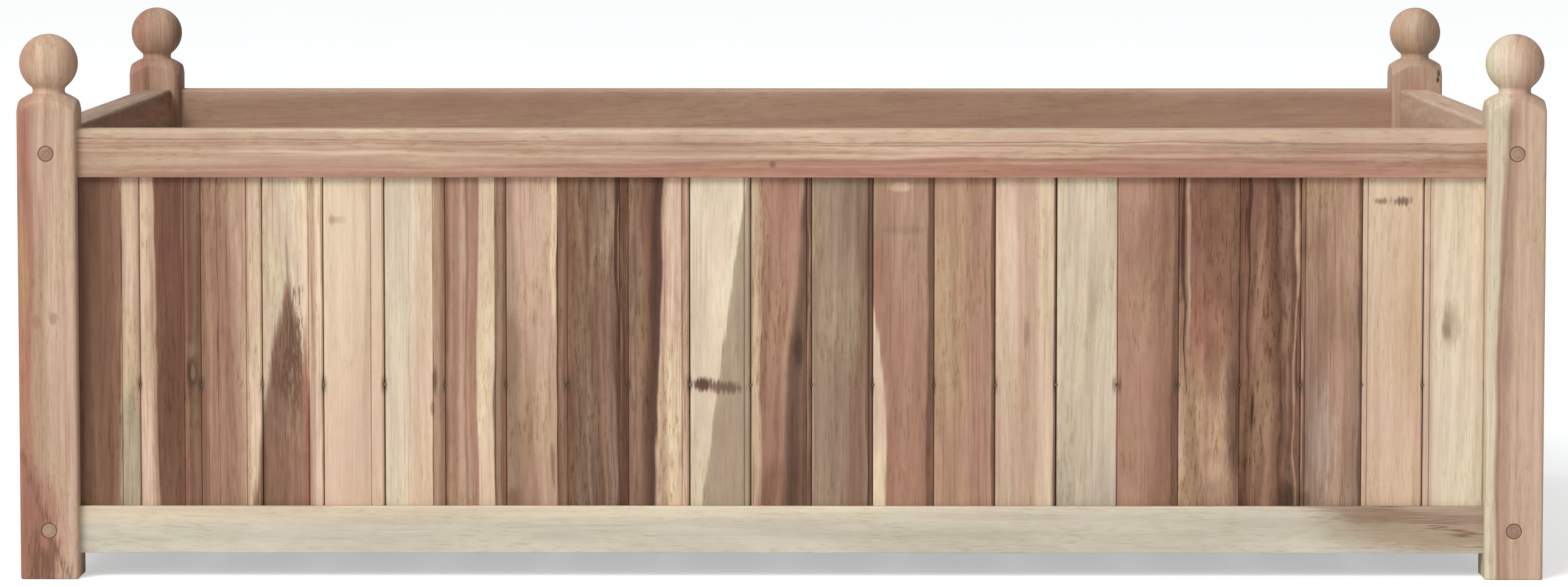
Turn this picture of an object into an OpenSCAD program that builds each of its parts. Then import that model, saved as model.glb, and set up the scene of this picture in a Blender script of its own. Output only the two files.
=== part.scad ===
// Trough planter on short legs, for a patio or garden.
// Four turned corner posts are mortised for eight rails. The rails and posts are grooved for
// tongued boards, which are pinned to a batten inside. A slatted floor drains into the air.
// Millimetres. The origin is on the ground under the middle, +X runs along the length to the right,
// +Y to the back and +Z up, so the front faces -Y.

/* [Planter] */
// Overall length, over the posts
planter_length = 1200; // [900:10:1500]
// Overall width, over the posts
planter_width = 800; // [500:10:1000]

/* [Posts] */
// Side of the square posts, and diameter of their balls
post_size = 46; // [44:1:60]
// Chamfer along the edges of the posts
post_chamfer = 2; // [0.5:0.5:3]
// Height of the legs that show under the bottom rails
leg_height = 20; // [10:1:200]
// Square length of the posts above the top rails
post_above_rail = 14; // [8:1:40]
// Radius of the neck under the ball
neck_radius = 12.6; // [10:0.2:16]

/* [Rails] */
// Thickness of every rail
rail_thickness = 28; // [26:1:30]
// Height of the top rails
top_rail_height = 38; // [30:1:60]
// Height of the bottom rails
bottom_rail_height = 37; // [34:1:60]
// How far the rails stand back from the outer faces of the posts
rail_inset = 10; // [6:1:12]
// Rounding along the upper edges of the top rails
rail_round = 3; // [1:0.5:5]
// Length of the rail tenons
tenon_length = 13.5; // [8:0.5:13.5]
// Thickness of the rail tenons
tenon_thickness = 12; // [8:1:12]

/* [Boards] */
// Height of board that shows between the rails
board_height = 260; // [150:5:500]
// Thickness of the boards
board_thickness = 12; // [10:1:14]
// How far the boards stand back from the face of the rails
board_inset = 6; // [4:1:8]
// Number of boards along the front and along the back
long_boards = 23; // [12:1:30]
// Number of boards at each end
end_boards = 15; // [8:1:20]
// Pitch of the fine bead lines milled across the boards
bead_pitch = 49.1; // [40:0.1:60]

/* [Floor] */
// Number of floor boards
floor_boards = 12; // [8:1:16]
// Thickness of the floor boards
floor_thickness = 15; // [12:1:18]
// Drainage gap between floor boards
floor_gap = 8; // [4:1:12]

/* [Fasteners] */
// Diameter of the wood plugs on the posts
plug_diameter = 12; // [10:0.5:14]
// Height of the pins and of the batten that they are driven into
pin_height = 153; // [120:1:200]

/* [Hidden] */
$fn = 64;

// Names of the front boards, counted from the left
front_slat_names = [for (i = [1 : long_boards]) str("front_slat_", i < 10 ? "0" : "", i)];

// Clearance in joints, room at the ends of the boards, and what a cut runs past the faces it opens
clearance = 0.2;
end_room = 1;
overcut = 1;

// Heights above the ground
bottom_rail_z = leg_height;
board_low_z = bottom_rail_z + bottom_rail_height;
top_rail_z = board_low_z + board_height;
rim_z = top_rail_z + top_rail_height;
dome_z = rim_z + post_above_rail;

// Turned tops: the dome rounds the square from dome_z up to the neck, and the ball sits on the neck
half_post = post_size / 2;
corner_radius = half_post * sqrt(2) - post_chamfer / sqrt(2);
dome_radius = 0.825 * post_size;
dome_centre_z = dome_z - sqrt(dome_radius ^ 2 - corner_radius ^ 2);
neck_z = dome_centre_z + sqrt(dome_radius ^ 2 - neck_radius ^ 2);
neck_length = 4.2;
neck_flare = 2;
cove_radius = 5;
ball_centre_z = neck_z + neck_length + sqrt(half_post ^ 2 - neck_radius ^ 2);

// Openings between the posts, and the rail centre lines measured in from the outer faces
long_opening = planter_length - 2 * post_size;
end_opening = planter_width - 2 * post_size;
rail_middle = rail_inset + rail_thickness / 2;

// Boards sit in grooves, in the rails and in the posts
board_front = rail_inset + board_inset;
rail_groove_depth = 8;
post_groove_depth = 6;
post_groove_room = 0.5;
tongue_length = 5;
tongue_thickness = 4;
board_gap = 0.6;
joint_chamfer = 1.5;
bead_depth = 0.9;
bead_half_width = 0.7;
bead_clear = 2.6;
long_pitch = long_opening / long_boards;
end_pitch = end_opening / end_boards;
// The bead lines start this far to the left of the first board joint
bead_start = 14.2;

// Rounding along the upper edges of the bottom rails
bottom_rail_round = 1;

// Tenons stand in from the plain edge of their rail, and further from its grooved edge
plain_shoulder = 5;
groove_shoulder = rail_groove_depth + 1;
bottom_tenon_span = [bottom_rail_z + plain_shoulder, board_low_z - groove_shoulder];
top_tenon_span = [top_rail_z + groove_shoulder, rim_z - plain_shoulder];

// Long screws: those in the front and back faces are at mid rail, those in the ends pass under or over
screw_radius = 2.5;
screw_hole_radius = 2.7;
screw_length = 84;
screw_head_radius = 4.6;
screw_head_height = 3.2;
plug_length = 8;
plug_clearance = 0.15;
plug_chamfer = 0.5;
screw_offset = 8;
front_screw_heights = [bottom_rail_z + bottom_rail_height / 2, top_rail_z + top_rail_height / 2];
end_screw_heights = [front_screw_heights[0] - screw_offset, front_screw_heights[1] + screw_offset];

// Battens fill the space behind the boards, flush with the inner faces of the rails
batten_height = 20;
batten_depth = rail_thickness - board_inset - board_thickness;
batten_front = board_front + board_thickness;
pin_radius = 0.8;
pin_head_radius = 1.2;
pin_head_height = 1;
pin_recess = 1.2;
pin_length = 18;

// Floor: boards across the width, on cleats and bearers that run along the length
cleat_height = 20;
cleat_depth = 18;
bearer_width = 30;
bearer_offset = (planter_width / 2 - rail_inset - rail_thickness) / 3;
bearer_tenon = 12;
bearer_tenon_width = 20;
bearer_tenon_height = 12;
floor_z = bottom_rail_z + cleat_height;
inner_half_length = planter_length / 2 - rail_inset - rail_thickness;
inner_half_width = planter_width / 2 - rail_inset - rail_thickness;
floor_length = long_opening - 2 * end_room;
floor_pitch = (floor_length + floor_gap) / floor_boards;
floor_board_width = floor_pitch - floor_gap;
floor_chamfer = 1;
small_screw_radius = 1.7;
small_screw_hole = 1.9;
small_head_radius = 3.6;
small_head_height = 2.4;
cleat_screw_length = 32;
floor_screw_length = 30;
cleat_screws_per_side = 5;
cleat_screw_spacing = 240;

// Colours of the mixed heartwood and sapwood
pink_brown = "#b18d78";
red_brown = "#9c7460";
pale_wood = "#d8c6a4";
dark_wood = "#7c6152";
steel = "#b4b6b8";
board_colours = [dark_wood, red_brown, red_brown, pale_wood, pale_wood, pale_wood, red_brown, pink_brown,
    dark_wood, dark_wood, pale_wood, red_brown, dark_wood, pink_brown, red_brown, pink_brown, pale_wood,
    red_brown, red_brown, dark_wood, dark_wood, pink_brown, pale_wood];

// Turns a piece drawn for the front into the one for the back, left or right
module to_back() { rotate([0, 0, 180]) children(); }
module to_right() { rotate([0, 0, 90]) children(); }
module to_left() { rotate([0, 0, -90]) children(); }

// ---- Screws, pins and plugs ----

// A countersunk screw along +Y, its head's flat face at the origin
module countersunk_screw(radius, head_radius, head_height, length) {
    tip = 2 * radius;
    recess = head_height / 2;
    rotate([-90, 0, 0])
        difference() {
            rotate_extrude()
                polygon([
                    [0, 0], [head_radius, 0], [radius, head_height],
                    [radius, length - tip], [0, length]
                ]);
            // Square drive
            translate([-radius / 2, -radius / 2, -overcut])
                cube([radius, radius, recess + overcut]);
        }
}

// The hole for such a screw: a straight bore and a countersink for its head
module countersunk_hole(radius, head_radius, head_height, length) {
    rotate([-90, 0, 0]) {
        cylinder(r = radius, h = length);
        translate([0, 0, -overcut])
            cylinder(r = head_radius + clearance, h = overcut);
        cylinder(r1 = head_radius + clearance, r2 = radius, h = head_height + clearance);
    }
}

// Stepped hole along +Y in a post: plug bore with an eased mouth, then the screw's shank
module plugged_hole() {
    bore = plug_diameter / 2 + plug_clearance;
    rotate([-90, 0, 0]) {
        translate([0, 0, -overcut])
            cylinder(r = bore, h = plug_length + overcut);
        cylinder(r1 = bore + plug_chamfer, r2 = bore, h = plug_chamfer);
    }
    translate([0, plug_length, 0])
        countersunk_hole(screw_hole_radius, screw_head_radius, screw_head_height, screw_length);
}

// Where the front and back posts take screws along Y, on the front half only
module at_front_screws() {
    for (side = [-1, 1], z = front_screw_heights)
        translate([side * (planter_length / 2 - half_post), -planter_width / 2, z])
            children();
}

// The same along X, on the right end, seen from that end
module at_end_screws() {
    for (side = [-1, 1], z = end_screw_heights)
        translate([side * (planter_width / 2 - half_post), -planter_length / 2, z])
            children();
}

// Copies a fastener to all sixteen places in the posts
module at_all_post_screws() {
    at_front_screws() children();
    to_back() at_front_screws() children();
    to_right() at_end_screws() children();
    to_left() at_end_screws() children();
}

module post_screws() {
    color(steel)
        at_all_post_screws()
            translate([0, plug_length, 0])
                countersunk_screw(screw_radius, screw_head_radius, screw_head_height, screw_length);
}

module post_plugs() {
    color(pink_brown)
        at_all_post_screws()
            rotate([-90, 0, 0]) {
                cylinder(r1 = plug_diameter / 2 - plug_chamfer, r2 = plug_diameter / 2, h = plug_chamfer);
                translate([0, 0, plug_chamfer])
                    cylinder(d = plug_diameter, h = plug_length - plug_chamfer);
            }
}

// ---- Posts ----

// Cross-section of a post with its edges chamfered
module post_section() {
    a = half_post;
    b = half_post - post_chamfer;
    polygon([[-b, -a], [b, -a], [a, -b], [a, b], [b, a], [-b, a], [-a, b], [-a, -b]]);
}

// The post's turned and square outer form, about its own axis
module post_blank() {
    intersection() {
        linear_extrude(neck_z) post_section();
        union() {
            cylinder(r = post_size, h = dome_z - overcut);
            translate([0, 0, dome_centre_z])
                sphere(r = dome_radius);
        }
    }
    // Neck: a cove cut round a short cylinder that ends inside the dome and the ball
    translate([0, 0, neck_z + neck_length / 2])
        rotate_extrude()
            difference() {
                translate([0, -cove_radius])
                    square([neck_radius + neck_flare, 2 * cove_radius]);
                translate([neck_radius + cove_radius, 0])
                    circle(r = cove_radius);
            }
    translate([0, 0, ball_centre_z])
        sphere(d = post_size);
}

// Cuts on the post's right-hand inner face: mortises for two rails and a groove for the end board
module inner_face_cuts() {
    face = half_post;
    middle = rail_middle - half_post;
    depth = tenon_length + clearance;
    for (span = [bottom_tenon_span, top_tenon_span])
        translate([face - depth, middle - tenon_thickness / 2 - clearance, span[0] - clearance])
            cube([
                depth + overcut,
                tenon_thickness + 2 * clearance,
                span[1] - span[0] + 2 * clearance
            ]);
    translate([
        face - post_groove_depth,
        board_front - half_post - clearance,
        board_low_z - rail_groove_depth
    ])
        cube([
            post_groove_depth + overcut,
            board_thickness + 2 * clearance,
            board_height + 2 * rail_groove_depth
        ]);
}

// The front left post in place. The others are this one turned or mirrored
module corner_post() {
    translate([-planter_length / 2 + half_post, -planter_width / 2 + half_post, 0])
        difference() {
            post_blank();
            inner_face_cuts();
            // The back face is the right-hand one seen across the diagonal
            mirror([1, -1, 0]) inner_face_cuts();
            for (z = front_screw_heights)
                translate([0, -half_post, z]) plugged_hole();
            for (z = end_screw_heights)
                translate([-half_post, 0, z]) rotate([0, 0, -90]) plugged_hole();
        }
}

module front_left_post() { color(pink_brown) corner_post(); }
module front_right_post() { color(pink_brown) mirror([1, 0, 0]) corner_post(); }
module back_left_post() { color(red_brown) mirror([0, 1, 0]) corner_post(); }
module back_right_post() { color(red_brown) rotate([0, 0, 180]) corner_post(); }

// ---- Rails ----

// Cross-section of a front rail, its outer lower corner at the origin. The upper corners are rounded
// by round, and the groove for the boards starts at groove_low
module rail_section(height, round, groove_low) {
    difference() {
        union() {
            square([rail_thickness, height - round]);
            translate([round, 0])
                square([rail_thickness - 2 * round, height]);
            for (x = [round, rail_thickness - round])
                translate([x, height - round])
                    circle(r = round);
        }
        translate([board_inset - clearance, groove_low])
            square([board_thickness + 2 * clearance, rail_groove_depth + overcut]);
    }
}

// A front rail in its place, from its low edge up, tenoned at both ends and bored for the long screws
module rail(opening, distance, low, height, round, groove_low, tenon_span, hole_z) {
    difference() {
        union() {
            translate([-opening / 2, -distance + rail_inset, low])
                rotate([90, 0, 90])
                    linear_extrude(opening)
                        rail_section(height, round, groove_low);
            translate([
                -opening / 2 - tenon_length,
                -distance + rail_middle - tenon_thickness / 2,
                tenon_span[0]
            ])
                cube([
                    opening + 2 * tenon_length,
                    tenon_thickness,
                    tenon_span[1] - tenon_span[0]
                ]);
        }
        for (side = [-1, 1])
            translate([side * (opening / 2 + tenon_length + overcut), -distance + half_post, hole_z])
                rotate([0, -side * 90, 0])
                    cylinder(r = screw_hole_radius, h = screw_length);
    }
}

module top_rail(opening, distance, hole_z) {
    rail(opening, distance, top_rail_z, top_rail_height, rail_round, -overcut, top_tenon_span, hole_z);
}

module bottom_rail(opening, distance, hole_z) {
    groove_low = bottom_rail_height - rail_groove_depth;
    rail(
        opening, distance, bottom_rail_z, bottom_rail_height, bottom_rail_round,
        groove_low, bottom_tenon_span, hole_z
    );
}

module long_top_rail() { top_rail(long_opening, planter_width / 2, end_screw_heights[1]); }
module end_top_rail() { top_rail(end_opening, planter_length / 2, front_screw_heights[1]); }

// A long bottom rail also has the holes for the cleat screws
module long_bottom_rail() {
    difference() {
        bottom_rail(long_opening, planter_width / 2, end_screw_heights[0]);
        at_cleat_screws()
            countersunk_hole(small_screw_hole, small_head_radius, small_head_height, cleat_screw_length);
    }
}

// An end bottom rail is mortised for the two floor bearers
module end_bottom_rail() {
    difference() {
        bottom_rail(end_opening, planter_length / 2, front_screw_heights[0]);
        for (side = [-1, 1])
            translate([
                side * bearer_offset - bearer_tenon_width / 2 - clearance,
                -inner_half_length - bearer_tenon - clearance,
                bottom_rail_z + (cleat_height - bearer_tenon_height) / 2 - clearance
            ])
                cube([
                    bearer_tenon_width + 2 * clearance,
                    bearer_tenon + clearance + overcut,
                    bearer_tenon_height + 2 * clearance
                ]);
    }
}

module front_top_rail() { color(pink_brown) long_top_rail(); }
module back_top_rail() { color(red_brown) to_back() long_top_rail(); }
module left_top_rail() { color(pink_brown) to_left() end_top_rail(); }
module right_top_rail() { color(pink_brown) to_right() end_top_rail(); }
module front_bottom_rail() { color(pale_wood) long_bottom_rail(); }
module back_bottom_rail() { color(pale_wood) to_back() long_bottom_rail(); }
module left_bottom_rail() { color(pale_wood) to_left() end_bottom_rail(); }
module right_bottom_rail() { color(pale_wood) to_right() end_bottom_rail(); }

// ---- Boards ----

// How far left of a joint the bead line lies, on the board that ends at joint number i
function bead_offset(i, pitch) = bead_start + (i - 1) * (pitch - bead_pitch);

// Cross-section of board i of n, with its front at y = 0 and its left edge at x = 0.
// The left edge is grooved and the right one tongued. The outermost edges run into the posts.
module board_section(i, n, pitch) {
    groove_reach = post_groove_depth - post_groove_room;
    left = i == 1 ? -groove_reach : board_gap / 2;
    right = i == n ? pitch + groove_reach : pitch - board_gap / 2;
    left_cut = i == 1 ? 0 : joint_chamfer;
    right_cut = i == n ? 0 : joint_chamfer;
    middle = board_thickness / 2;
    difference() {
        union() {
            polygon([
                [left + left_cut, 0], [right - right_cut, 0], [right, right_cut],
                [right, board_thickness], [left, board_thickness], [left, left_cut]
            ]);
            if (i < n)
                translate([right - overcut, middle - tongue_thickness / 2])
                    square([tongue_length + overcut, tongue_thickness]);
        }
        if (i > 1)
            translate([left - overcut, middle - tongue_thickness / 2 - clearance])
                square([tongue_length + overcut + 2 * clearance, tongue_thickness + 2 * clearance]);
        // Bead lines that fall on this board, clear of its joints
        for (x = [pitch - bead_offset(i, pitch), -bead_offset(i - 1, pitch)])
            if (x > bead_clear && x < pitch - bead_clear)
                polygon([
                    [x - bead_half_width, -overcut], [x + bead_half_width, -overcut],
                    [x + bead_half_width, 0], [x, bead_depth], [x - bead_half_width, 0]
                ]);
    }
}

// Board i of n in a front panel, drilled for its pins
module board(i, n, pitch, opening, distance) {
    translate([-opening / 2 + (i - 1) * pitch, -distance + board_front, 0])
        difference() {
            translate([0, 0, board_low_z - rail_groove_depth])
                linear_extrude(board_height + 2 * rail_groove_depth - end_room)
                    board_section(i, n, pitch);
            for (edge = [0, 1])
                if (i + edge > 1 && i + edge < n + 1)
                    translate([edge * pitch, 0, pin_height]) pin_hole();
        }
}

// Hole along +Y for a pin, with a wider part that its head sinks into
module pin_hole() {
    rotate([-90, 0, 0]) {
        cylinder(r = pin_radius + clearance / 2, h = board_thickness + pin_length);
        translate([0, 0, -overcut])
            cylinder(r = pin_head_radius + clearance / 2, h = pin_recess + pin_head_height + overcut);
    }
}

module long_board(i) { board(i, long_boards, long_pitch, long_opening, planter_width / 2); }
module end_board(i) { board(i, end_boards, end_pitch, end_opening, planter_length / 2); }

module front_slat(i) { color(board_colours[(i - 1) % len(board_colours)]) long_board(i); }

module back_slats() {
    color(red_brown) to_back() for (i = [1 : long_boards]) long_board(i);
}

module left_slats() {
    color(pink_brown) to_left() for (i = [1 : end_boards]) end_board(i);
}

module right_slats() {
    color(pale_wood) to_right() for (i = [1 : end_boards]) end_board(i);
}

// ---- Battens and pins ----

// Places along one side where a pin is driven, at every joint between two boards
module at_pins(n, pitch, opening, distance) {
    for (i = [1 : n - 1])
        translate([-opening / 2 + i * pitch, -distance + board_front, pin_height])
            children();
}

module at_long_pins() { at_pins(long_boards, long_pitch, long_opening, planter_width / 2) children(); }
module at_end_pins() { at_pins(end_boards, end_pitch, end_opening, planter_length / 2) children(); }

// A batten of a given length behind the front boards, with bores for its pins
module batten(length, distance) {
    translate([-length / 2, -distance + batten_front, pin_height - batten_height / 2])
        cube([length, batten_depth, batten_height]);
}

module long_batten() {
    difference() {
        batten(long_opening, planter_width / 2);
        at_long_pins() pin_hole();
    }
}

module end_batten() {
    difference() {
        batten(end_opening, planter_length / 2);
        at_end_pins() pin_hole();
    }
}

module front_batten() { color(pale_wood) long_batten(); }
module back_batten() { color(pale_wood) to_back() long_batten(); }
module left_batten() { color(pale_wood) to_left() end_batten(); }
module right_batten() { color(pale_wood) to_right() end_batten(); }

// One pin along +Y, its head sunk under the face of the boards
module pin() {
    translate([0, pin_recess, 0])
        rotate([-90, 0, 0])
            rotate_extrude()
                polygon([
                    [0, 0], [pin_head_radius, 0], [pin_head_radius, pin_head_height],
                    [pin_radius, pin_head_height], [pin_radius, pin_length - 2 * pin_radius], [0, pin_length]
                ]);
}

module slat_pins() {
    color(steel) {
        at_long_pins() pin();
        to_back() at_long_pins() pin();
        to_right() at_end_pins() pin();
        to_left() at_end_pins() pin();
    }
}

// ---- Floor ----

// Where the cleat screws enter the front bottom rail's inner cleat, driven from inside towards -Y
module at_cleat_screws() {
    for (i = [0 : cleat_screws_per_side - 1])
        translate([
            (i - (cleat_screws_per_side - 1) / 2) * cleat_screw_spacing,
            -inner_half_width + cleat_depth,
            bottom_rail_z + cleat_height / 2
        ])
            rotate([0, 0, 180]) children();
}

module floor_cleat() {
    difference() {
        translate([-planter_length / 2 + post_size, -inner_half_width, bottom_rail_z])
            cube([long_opening, cleat_depth, cleat_height]);
        at_cleat_screws()
            countersunk_hole(small_screw_hole, small_head_radius, small_head_height, cleat_screw_length);
        at_floor_screws()
            countersunk_hole(small_screw_hole, small_head_radius, small_head_height, floor_screw_length);
    }
}

// The bearer in front of the middle, tenoned into both end rails
module floor_bearer() {
    difference() {
        translate([0, -bearer_offset, bottom_rail_z])
            union() {
                translate([-inner_half_length, -bearer_width / 2, 0])
                    cube([2 * inner_half_length, bearer_width, cleat_height]);
                translate([
                    -inner_half_length - bearer_tenon,
                    -bearer_tenon_width / 2,
                    (cleat_height - bearer_tenon_height) / 2
                ])
                    cube([
                        2 * (inner_half_length + bearer_tenon),
                        bearer_tenon_width,
                        bearer_tenon_height
                    ]);
            }
        at_floor_screws()
            countersunk_hole(small_screw_hole, small_head_radius, small_head_height, floor_screw_length);
    }
}

// Places on top of the floor where screws go down into the front cleat and the front bearer
module at_floor_screws() {
    for (i = [0 : floor_boards - 1], y = [-inner_half_width + cleat_depth / 2, -bearer_offset])
        translate([floor_board_x(i), y, floor_z + floor_thickness])
            rotate([-90, 0, 0]) children();
}

// Middle of floor board i
function floor_board_x(i) = (i - (floor_boards - 1) / 2) * floor_pitch;

// Cross-section of a floor board, its upper edges chamfered
module floor_board_section() {
    a = floor_board_width / 2;
    b = a - floor_chamfer;
    side_height = floor_thickness - floor_chamfer;
    polygon([
        [-a, 0], [a, 0], [a, side_height],
        [b, floor_thickness], [-b, floor_thickness], [-a, side_height]
    ]);
}

module floor_slats() {
    board_end = inner_half_width - end_room;
    color(pink_brown)
        difference() {
            for (i = [0 : floor_boards - 1])
                translate([floor_board_x(i), board_end, floor_z])
                    rotate([90, 0, 0])
                        linear_extrude(2 * board_end)
                            floor_board_section();
            both_halves() at_floor_screws()
                countersunk_hole(small_screw_hole, small_head_radius, small_head_height, floor_screw_length);
        }
}

// Draws its children and the same turned to the back
module both_halves() {
    children();
    to_back() children();
}

module front_floor_cleat() { color(pale_wood) floor_cleat(); }
module back_floor_cleat() { color(pale_wood) to_back() floor_cleat(); }
module front_floor_bearer() { color(pale_wood) floor_bearer(); }
module back_floor_bearer() { color(pale_wood) to_back() floor_bearer(); }

module cleat_screws() {
    color(steel) both_halves() at_cleat_screws()
        countersunk_screw(small_screw_radius, small_head_radius, small_head_height, cleat_screw_length);
}

module floor_screws() {
    color(steel) both_halves() at_floor_screws()
        countersunk_screw(small_screw_radius, small_head_radius, small_head_height, floor_screw_length);
}

// ---- Nodes ----

front_left_post();
front_right_post();
back_left_post();
back_right_post();
front_top_rail();
back_top_rail();
left_top_rail();
right_top_rail();
front_bottom_rail();
back_bottom_rail();
left_bottom_rail();
right_bottom_rail();
for (i = [1 : long_boards])
    front_slat(i);
back_slats();
left_slats();
right_slats();
front_batten();
back_batten();
left_batten();
right_batten();
front_floor_cleat();
back_floor_cleat();
front_floor_bearer();
back_floor_bearer();
floor_slats();
slat_pins();
post_screws();
post_plugs();
cleat_screws();
floor_screws();
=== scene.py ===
"""Looks of a trough planter in mixed sapwood and heartwood, around the frame that holds its design.

Every piece that shows is made again here with eased edges, real joints and its own grain. Meshes are in
metres in the frame's axes: +X to the right, +Y to the back, +Z up. Grain is measured in millimetres.
"""
import math
import random
from collections import namedtuple

import bmesh
import bpy
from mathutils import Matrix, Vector


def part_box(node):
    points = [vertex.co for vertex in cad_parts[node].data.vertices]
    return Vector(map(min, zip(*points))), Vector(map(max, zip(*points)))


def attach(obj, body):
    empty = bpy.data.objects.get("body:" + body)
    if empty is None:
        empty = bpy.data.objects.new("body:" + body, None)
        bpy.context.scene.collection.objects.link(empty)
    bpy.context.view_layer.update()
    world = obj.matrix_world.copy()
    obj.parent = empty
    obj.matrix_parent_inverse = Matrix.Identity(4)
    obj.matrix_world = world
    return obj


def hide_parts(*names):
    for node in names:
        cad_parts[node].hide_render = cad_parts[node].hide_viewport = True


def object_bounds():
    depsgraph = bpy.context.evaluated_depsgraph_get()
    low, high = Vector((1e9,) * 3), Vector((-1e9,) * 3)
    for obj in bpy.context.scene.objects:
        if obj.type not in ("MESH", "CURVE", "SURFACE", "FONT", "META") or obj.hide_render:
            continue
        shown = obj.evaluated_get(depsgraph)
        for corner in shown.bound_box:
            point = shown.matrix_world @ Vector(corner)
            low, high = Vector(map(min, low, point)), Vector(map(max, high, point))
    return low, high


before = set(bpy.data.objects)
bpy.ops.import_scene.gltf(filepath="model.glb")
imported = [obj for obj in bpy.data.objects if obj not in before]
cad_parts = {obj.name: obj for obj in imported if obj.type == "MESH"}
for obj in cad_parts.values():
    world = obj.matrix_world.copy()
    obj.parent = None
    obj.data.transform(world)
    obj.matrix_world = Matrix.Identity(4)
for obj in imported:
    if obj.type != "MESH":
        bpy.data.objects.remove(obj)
cad_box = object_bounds()

MM = 0.001
EAST = Vector((1, 0, 0))
WEST = Vector((-1, 0, 0))
NORTH = Vector((0, 1, 0))
SOUTH = Vector((0, -1, 0))
UP = Vector((0, 0, 1))


# ---- Measures that the frame gives ----

def span(node, axis):
    """Low and high end of a node along one axis, 0 to 2."""
    low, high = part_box(node)
    return low[axis], high[axis]


POST_X = span("front_left_post", 0)
POST = POST_X[1] - POST_X[0]
HALF = POST / 2
LENGTH = cad_box[1].x - cad_box[0].x
WIDTH = cad_box[1].y - cad_box[0].y
TOP_RAIL = span("front_top_rail", 2)
BOTTOM_RAIL = span("front_bottom_rail", 2)
RAIL_Y = span("front_top_rail", 1)
RAIL_INSET = RAIL_Y[0] + WIDTH / 2
RAIL_THICKNESS = RAIL_Y[1] - RAIL_Y[0]
BOARD_Y = span("front_slat_02", 1)
BOARD_FRONT = BOARD_Y[0] + WIDTH / 2
BOARD_THICKNESS = BOARD_Y[1] - BOARD_Y[0]
BOARD_Z = span("front_slat_02", 2)
PIN_Z = sum(span("slat_pins", 2)) / 2
FLOOR_Z = span("floor_slats", 2)
FLOOR_X = span("floor_slats", 0)
FLOOR_Y = span("floor_slats", 1)

# ---- Measures of the design that no box shows ----

BEAD_START = 14.2 * MM
BEAD_PITCH = 49.1 * MM
BEAD_DEPTH = 0.9 * MM
BEAD_HALF = 0.7 * MM
BEAD_CLEAR = 2.6 * MM
JOINT_CHAMFER = 1.5 * MM
TONGUE = 5 * MM
TONGUE_THICKNESS = 4 * MM
GROOVE_DEPTH = 8 * MM
CLEARANCE = 0.2 * MM
PIN_RECESS_RADIUS = 1.4 * MM
PIN_RECESS_DEPTH = 2.3 * MM
PIN_ROOM = 2.6 * MM
PLUG_RADIUS = 6 * MM
PLUG_LENGTH = 8 * MM
PLUG_EASE = 0.6 * MM
PLUG_SINK = 0.25 * MM
PLUG_BORE = 6.15 * MM
PLUG_BORE_CHAMFER = 0.45 * MM
SCREW_OFFSET = 8 * MM
POST_OVERLAP = 0.4 * MM
POST_SHADE = 2 * MM
FLOOR_BOARDS = 12
FLOOR_GAP = 8 * MM
FLOOR_SCREW_HEAD = 3.8 * MM
FLOOR_SCREW_SHANK = 1.9 * MM
FLOOR_SCREW_SINK = 2.6 * MM

# Turned heads of the posts
RIM = TOP_RAIL[1]
# Below this height the rounded corners of the posts are painted a little darker, as shade
POST_CORNER_SHADE_TOP = RIM + 9 * MM
DOME_TOP = RIM + 14 * MM
DOME_RADIUS = 0.825 * POST
POST_CHAMFER = 2 * MM
POST_CORNER = HALF * math.sqrt(2) - POST_CHAMFER / math.sqrt(2)
DOME_CENTRE = DOME_TOP - math.sqrt(DOME_RADIUS ** 2 - POST_CORNER ** 2)
NECK_RADIUS = 12.6 * MM
NECK_LOW = DOME_CENTRE + math.sqrt(DOME_RADIUS ** 2 - NECK_RADIUS ** 2)
NECK_MIDDLE = NECK_LOW + 2.1 * MM
COVE = 5 * MM
BALL_CENTRE = cad_box[1].z - HALF

# Easing that a sander leaves on the edges
POST_ARRIS = 3.2 * MM
FOOT_EASE = 1 * MM
RIM_ROUND = 3 * MM
RAIL_EASE = 0.8 * MM
BOARD_EASE = 0.35 * MM
BACK_EASE = 0.4 * MM
JOINT_EASE = 0.2 * MM
BEAD_EASE = 0.25 * MM
BEAD_ROUND = 0.15 * MM
FLOOR_EASE = 1.2 * MM
CREASE = 0.7 * MM

# How far the wood has moved: the rails' and the boards' bow, and how proud a board may stand
RAIL_BOW = 0.12 * MM
BOARD_BOW = 0.25 * MM
BOARD_PROUD = 0.15 * MM


# ---- Sides of the planter ----

class Side(namedtuple("Side", "name right inward opening half_depth boards")):
    """One side seen from outside: right runs along it, inward runs through it."""

    def place(self, along, depth, height):
        """A point from its distance right of the middle, its depth behind the posts' faces and its height."""
        return self.right * along + self.inward * (depth - self.half_depth) + UP * height

    @property
    def pitch(self):
        return self.opening / self.boards


LONG = LENGTH - 2 * POST
SHORT = WIDTH - 2 * POST
FRONT = Side("front", EAST, NORTH, LONG, WIDTH / 2, 23)
BACK = Side("back", WEST, SOUTH, LONG, WIDTH / 2, 23)
LEFT = Side("left", SOUTH, EAST, SHORT, LENGTH / 2, 15)
RIGHT = Side("right", NORTH, WEST, SHORT, LENGTH / 2, 15)
SIDES = (FRONT, BACK, LEFT, RIGHT)


# ---- Node trees ----

class Field:
    """A number or colour that varies over a surface: one output of a node tree."""

    def __init__(self, tree, socket):
        self.tree = tree
        self.socket = socket

    def math(self, operation, *others):
        return self.tree.fill(self.tree.add("ShaderNodeMath", operation=operation), (self, *others))

    def __add__(self, other):
        return self.math("ADD", other)

    def __sub__(self, other):
        return self.math("SUBTRACT", other)

    def __mul__(self, other):
        return self.math("MULTIPLY", other)

    def ramp(self, start, end):
        """Rises smoothly from 0 at start to 1 at end."""
        node = self.tree.add("ShaderNodeMapRange", interpolation_type="SMOOTHSTEP")
        return self.tree.fill(node, (self, start, end))


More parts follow.
